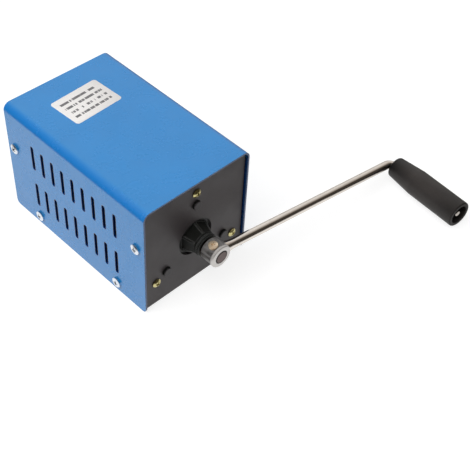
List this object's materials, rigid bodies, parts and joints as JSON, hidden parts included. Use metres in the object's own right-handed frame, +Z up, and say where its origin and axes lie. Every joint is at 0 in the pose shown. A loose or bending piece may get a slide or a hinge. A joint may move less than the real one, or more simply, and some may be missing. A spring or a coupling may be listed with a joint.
{
  "type": "hand crank generator",
  "caption": "Boxy sheet-metal hand crank generator with a long cranked handle, an inner planetary step-up gearbox and vent slots in its sides.",
  "frame": {"origin": "centre of the base's footprint, on the surface that the case stands on", "axes": "+Z up, +Y along the case from the front plate to the rear plate, -Y the way the crank's shaft points, +X the side the crank points to at rest"},
  "size_m": [0.2101, 0.2057, 0.08],
  "materials": {
    "cover_paint": "smooth blue powder coat, semi-gloss",
    "chassis_paint": "fine matt black powder coat",
    "gearbox_plastic": "moulded black nylon, low sheen",
    "handle_plastic": "moulded black plastic with a fine satin texture",
    "crank_chrome": "bright nickel-chrome plate",
    "zinc_screw": "bright zinc plate",
    "yellow_screw": "yellow passivated zinc plate",
    "shaft_steel": "turned steel, dull",
    "gear_steel": "sintered steel, oiled",
    "bush_bronze": "sintered bronze",
    "can_steel": "zinc-plated drawn steel",
    "core_steel": "varnished laminations",
    "magnet_ferrite": "sintered ferrite",
    "copper": "enamelled copper wire",
    "carbon": "pressed carbon",
    "cap_plastic": "moulded black plastic",
    "board_green": "solder-masked glass fibre board",
    "component_black": "moulded component bodies",
    "socket_metal": "tinned steel shell",
    "wire_red": "soft PVC insulation",
    "wire_black": "soft PVC insulation"
  },
  "bodies": {
    "case": {"cover": "cover_paint", "chassis": "chassis_paint", "cover_screws": "zinc_screw", "plate_screws": "yellow_screw", "gearbox_front_cover": "gearbox_plastic", "gearbox_housing": "gearbox_plastic", "gearbox_rear_plate": "gearbox_plastic", "gearbox_rear_screws": "yellow_screw", "ring_gear": "gear_steel", "front_bush": "bush_bronze", "generator_can": "can_steel", "generator_screws": "zinc_screw", "generator_magnets": "magnet_ferrite", "generator_bearings": "bush_bronze", "generator_end_cap": "cap_plastic", "generator_terminals": "copper", "brushes": "carbon", "regulator_board": "board_green", "board_standoffs": "bush_bronze", "board_screws": "zinc_screw", "board_components": "component_black", "usb_socket": "socket_metal", "dc_jack": "cap_plastic", "lead_red": "wire_red", "lead_black": "wire_black"},
    "crank": {"crank_arm": "crank_chrome", "crank_set_screw": "yellow_screw", "input_shaft": "shaft_steel", "input_carrier": "gear_steel", "input_planet_pins": "shaft_steel", "handle_washer": "zinc_screw"},
    "handle": {"handle_grip": "handle_plastic"},
    "output_stage": {"output_carrier": "gear_steel", "output_planet_pins": "shaft_steel"},
    "rotor": {"output_sun": "gear_steel", "armature_shaft": "shaft_steel", "armature_core": "core_steel", "armature_windings": "copper", "commutator": "copper"},
    "input_planet_1": {"input_planet_1": "gear_steel"},
    "output_planet_1": {"output_planet_1": "gear_steel"},
    "input_planet_2": {"input_planet_2": "gear_steel"},
    "output_planet_2": {"output_planet_2": "gear_steel"},
    "input_planet_3": {"input_planet_3": "gear_steel"},
    "output_planet_3": {"output_planet_3": "gear_steel"}
  },
  "joints": [
    {"name": "crank_spin", "type": "hinge", "parent": "case", "child": "crank", "pos_m": [0, -0.07765, 0.036], "axis": [0, -1, 0], "continuous": true},
    {"name": "handle_spin", "type": "hinge", "parent": "crank", "child": "handle", "pos_m": [0.15872, -0.11049, 0.0093], "axis": [-0.1026, -0.9946, 0.0173], "continuous": true},
    {"name": "output_stage_spin", "type": "hinge", "parent": "case", "child": "output_stage", "pos_m": [0, -0.0438, 0.036], "axis": [0, -1, 0], "continuous": true},
    {"name": "rotor_spin", "type": "hinge", "parent": "case", "child": "rotor", "pos_m": [0, 0, 0.036], "axis": [0, -1, 0], "continuous": true},
    {"name": "input_planet_1_spin", "type": "hinge", "parent": "crank", "child": "input_planet_1", "pos_m": [0, -0.0492, 0.051], "axis": [0, -1, 0], "continuous": true},
    {"name": "output_planet_1_spin", "type": "hinge", "parent": "output_stage", "child": "output_planet_1", "pos_m": [0, -0.0384, 0.051], "axis": [0, -1, 0], "continuous": true},
    {"name": "input_planet_2_spin", "type": "hinge", "parent": "crank", "child": "input_planet_2", "pos_m": [-0.01299, -0.0492, 0.0285], "axis": [0, -1, 0], "continuous": true},
    {"name": "output_planet_2_spin", "type": "hinge", "parent": "output_stage", "child": "output_planet_2", "pos_m": [-0.01299, -0.0384, 0.0285], "axis": [0, -1, 0], "continuous": true},
    {"name": "input_planet_3_spin", "type": "hinge", "parent": "crank", "child": "input_planet_3", "pos_m": [0.01299, -0.0492, 0.0285], "axis": [0, -1, 0], "continuous": true},
    {"name": "output_planet_3_spin", "type": "hinge", "parent": "output_stage", "child": "output_planet_3", "pos_m": [0.01299, -0.0384, 0.0285], "axis": [0, -1, 0], "continuous": true}
  ],
  "couplings": [
    {"joint": "output_stage_spin", "follows": "crank_spin", "ratio": 5},
    {"joint": "rotor_spin", "follows": "crank_spin", "ratio": 25},
    {"joint": "input_planet_1_spin", "follows": "crank_spin", "ratio": -2.6667},
    {"joint": "output_planet_1_spin", "follows": "crank_spin", "ratio": -13.333},
    {"joint": "input_planet_2_spin", "follows": "crank_spin", "ratio": -2.6667},
    {"joint": "output_planet_2_spin", "follows": "crank_spin", "ratio": -13.333},
    {"joint": "input_planet_3_spin", "follows": "crank_spin", "ratio": -2.6667},
    {"joint": "output_planet_3_spin", "follows": "crank_spin", "ratio": -13.333}
  ]
}
